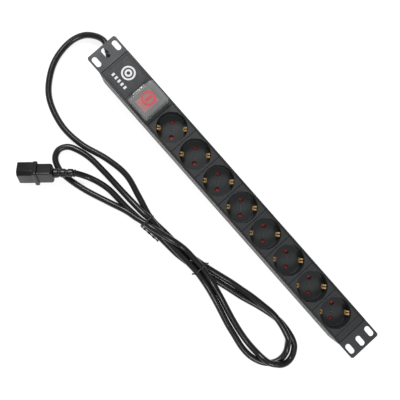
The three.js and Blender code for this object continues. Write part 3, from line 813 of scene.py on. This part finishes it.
def socket_surfaces():
    """One socket round the origin. The main sheet runs from the middle of the cup floor out, up the
    wall, over the rim and the face plate, down the flange and the outside of the cup, and back under
    the floor. A ring round each pin hole and two squares close the middle."""
    floor_top, floor_under, face = 26.9, 24.4, 44.0
    cup_radius, foot_round, rim_round = 18.95, 0.5, 0.25
    bay_start, bay_radius, bay_floor, bay_top = 16.5, 19.7, 24.8, 40.2
    notch_radius, notch_floor, step_height = 19.6, 41.0, 0.01
    plate_x, plate_y, plate_round = 21.05, 19.4, 0.2
    flange_y, flange_top, flange_under = 19.9, 41.9, 39.9
    tub_radius = 20.2
    pin_reach, pin_radius, pin_round, pin_margin = 9.5, 2.65, 0.3, 3.2
    square_half = pin_reach / 2

    core = box_outline(3 * square_half, square_half, columns)
    rows = [diagonal(level_ring(core, floor_top)), cup_ring(16.3, floor_top), cup_ring(bay_start, floor_top)]
    bay_or_floor = np.where(in_bay, bay_floor, floor_top)
    rows.append(cup_ring(np.where(in_bay, bay_start, 17.2), bay_or_floor))
    rows.append(cup_ring(np.where(in_bay, bay_radius, 18.35), bay_or_floor))
    for t in quarter_turn[1:]:
        radius = cup_radius - foot_round * (1 - math.sin(t))
        height = floor_top + foot_round * (1 - math.cos(t))
        rows.append(
            cup_ring(np.where(in_bay, bay_radius, radius), np.where(in_bay, bay_floor + 0.2 + t, height))
        )
    rows.append(cup_ring(np.where(in_bay, bay_radius, cup_radius), bay_top))
    rows += [cup_ring(cup_radius, bay_top + step_height), cup_ring(cup_radius, notch_floor)]
    wall = np.where(in_notch, notch_radius, cup_radius)
    rows += [cup_ring(wall, notch_floor + step_height), cup_ring(wall, face - 0.4)]
    for t in quarter_turn:
        rows.append(cup_ring(wall + rim_round * (1 - math.cos(t)), face - rim_round * (1 - math.sin(t))))
    rows += [cup_ring(wall + 0.32, face), plate_ring(plate_x - 0.3, plate_y - 0.15, face)]
    for t in quarter_turn:
        inset = plate_round * (1 - math.sin(t))
        rows.append(
            plate_ring(plate_x - inset, plate_y - inset / 2, face - plate_round * (1 - math.cos(t)))
        )
    rows += [plate_ring(plate_x, plate_y, face - 0.5), plate_ring(plate_x, plate_y, flange_top)]
    rows += [plate_ring(plate_x, flange_y, flange_top), plate_ring(plate_x, flange_y, flange_under)]
    for height in (flange_under, floor_under):
        tub = cup_ring(tub_radius, height)
        tub[:, 1] = tub[:, 1].clip(-flange_y, flange_y)
        rows.append(tub)
    rows.append(diagonal(level_ring(core, floor_under)))
    surfaces = [sheet_faces(np.stack(rows))]

    square = box_outline(square_half, square_half, columns // 2)
    hole = circle(1.0, columns // 2)
    for side in (-pin_reach, pin_reach):
        ring = [level_ring(square, floor_top), level_ring(pin_margin * hole, floor_top)]
        for t in quarter_turn:
            radius = pin_radius + pin_round * (1 - math.sin(t))
            ring.append(level_ring(radius * hole, floor_top - pin_round * (1 - math.cos(t))))
        ring += [level_ring(pin_radius * hole, floor_under), level_ring(square, floor_under)]
        surfaces.append(sheet_faces(diagonal(np.stack(ring) + (side, 0, 0))))

    step = np.linspace(-square_half, square_half, columns // 8 + 1)
    x, y = np.meshgrid(step, step, indexing="ij")
    dimples = 0.7 * np.exp(-(((np.abs(x) - 1.8) ** 2 + y**2) / 0.5))
    dimples[[0, -1]] = dimples[:, [0, -1]] = 0
    for top in (floor_top - dimples, np.full(x.shape, floor_under)):
        surfaces.append(sheet_faces(diagonal(np.stack([x, y, top], -1)), closed=False))

    chamber_x, chamber_y, chamber_wall, chamber_foot = 16.5, 11, 1.1, 9.6
    chamber = [
        level_ring(box_outline(chamber_x - inset, chamber_y - inset, columns // 2), height)
        for inset, height in (
            (0, chamber_foot),
            (0, floor_under),
            (chamber_wall, floor_under),
            (chamber_wall, chamber_foot),
            (0, chamber_foot),
        )
    ]
    surfaces.append(sheet_faces(diagonal(np.stack(chamber))))
    return surfaces


clip_half_width = 2.8
clip_thickness = 0.8


def strap(path, start=-clip_half_width, end=clip_half_width):
    """A flat strap with rounded edges, its middle line a path of (reach, height) points in the YZ plane
    and its width from start to end along X. Rows follow the path, columns the strap's section."""
    along = np.gradient(path, axis=0)
    along /= np.linalg.norm(along, axis=1, keepdims=True)
    across_path = np.stack([-along[:, 1], along[:, 0]], -1)
    section = rounded_box(end - start, clip_thickness, clip_thickness * 0.4, 4)
    grid = np.empty((len(path) + 2, len(section), 3))
    grid[1:-1, :, 0] = (start + end) / 2 + section[:, 0]
    grid[1:-1, :, 1:] = path[:, None, :] + section[None, :, 1, None] * across_path[:, None, :]
    grid[0] = ((start + end) / 2, *path[0])
    grid[-1] = ((start + end) / 2, *path[-1])
    return sheet_faces(diagonal(grid))


def clip_surfaces():
    """One earth clip round the origin: a strap under the chamber that rises on both sides and bows into
    the cup. The bow is forked into two prongs, joined again by a bar at its crest."""
    bow_points = [
        (17.4, 24),
        (17.4, 27.6),
        (16.4, 30.2),
        (14.4, 32.9),
        (13.95, 34.6),
        (15, 36.8),
        (17, 38.6),
        (18.3, 39.4),
    ]
    steps = 6
    bow = smooth_path([(0, *point) for point in bow_points], steps)[:, 1:]
    slot_half = 0.7
    surfaces = []
    for side in (1, -1):
        arm = bow * (side, 1)
        surfaces += [strap(arm, end=-slot_half), strap(arm, start=slot_half)]
        surfaces += [strap(arm[: 2 * steps + 3]), strap(arm[3 * steps + 1 : 4 * steps + 5])]
    half_under = [(16, 8.6), (16.9, 8.8), (17.4, 9.6), (17.4, 24.4)]
    under = [(-reach, height) for reach, height in reversed(half_under)] + half_under
    surfaces.append(strap(np.array(under, float)))
    return surfaces


def moved(surfaces, x):
    """The same surfaces moved along X."""
    return [(points + (x, 0, 0), faces) for points, faces in surfaces]


socket_shape = socket_surfaces()
clip_shape = clip_surfaces()
first_socket_x, socket_pitch, socket_count = -112.2, 42.7, 8
for number in range(1, socket_count + 1):
    socket_x = first_socket_x + socket_pitch * (number - 1)
    piece_of(
        f"socket_moulding_{number}",
        moved(socket_shape, socket_x),
        moulded_black,
        "strip",
        [f"socket_module_{number}"],
    )
    piece_of(
        f"clip_spring_{number}",
        moved(clip_shape, socket_x),
        brass,
        "strip",
        [f"earth_clip_{number}"],
    )
    softened(f"shutter_{number}", 0.2)
    clad(f"shutter_{number}", shutter_red)

# ---- Conductors inside the channel ----
# Two brass busbars with sleeves run under the pin holes, and a brass rail joins the earth clips. An
# insulating strip lies under the bars. Three wires in PVC come in from the gland.
for name in ("live_busbar", "neutral_busbar", "earth_rail"):
    softened(name, 0.12)
    clad(name, brass)
softened("insulating_strip", 0.3)
clad("insulating_strip", white_ink)
for name in ("live_wire", "neutral_wire", "earth_wire"):
    clad(name, lead_pvc)

# ---- End filler ----
# A short blank moulding that fills the channel between the last socket and the right ear. The lips
# hold it down as they hold the modules.
softened("end_filler", 0.15)
clad("end_filler", moulded_black)
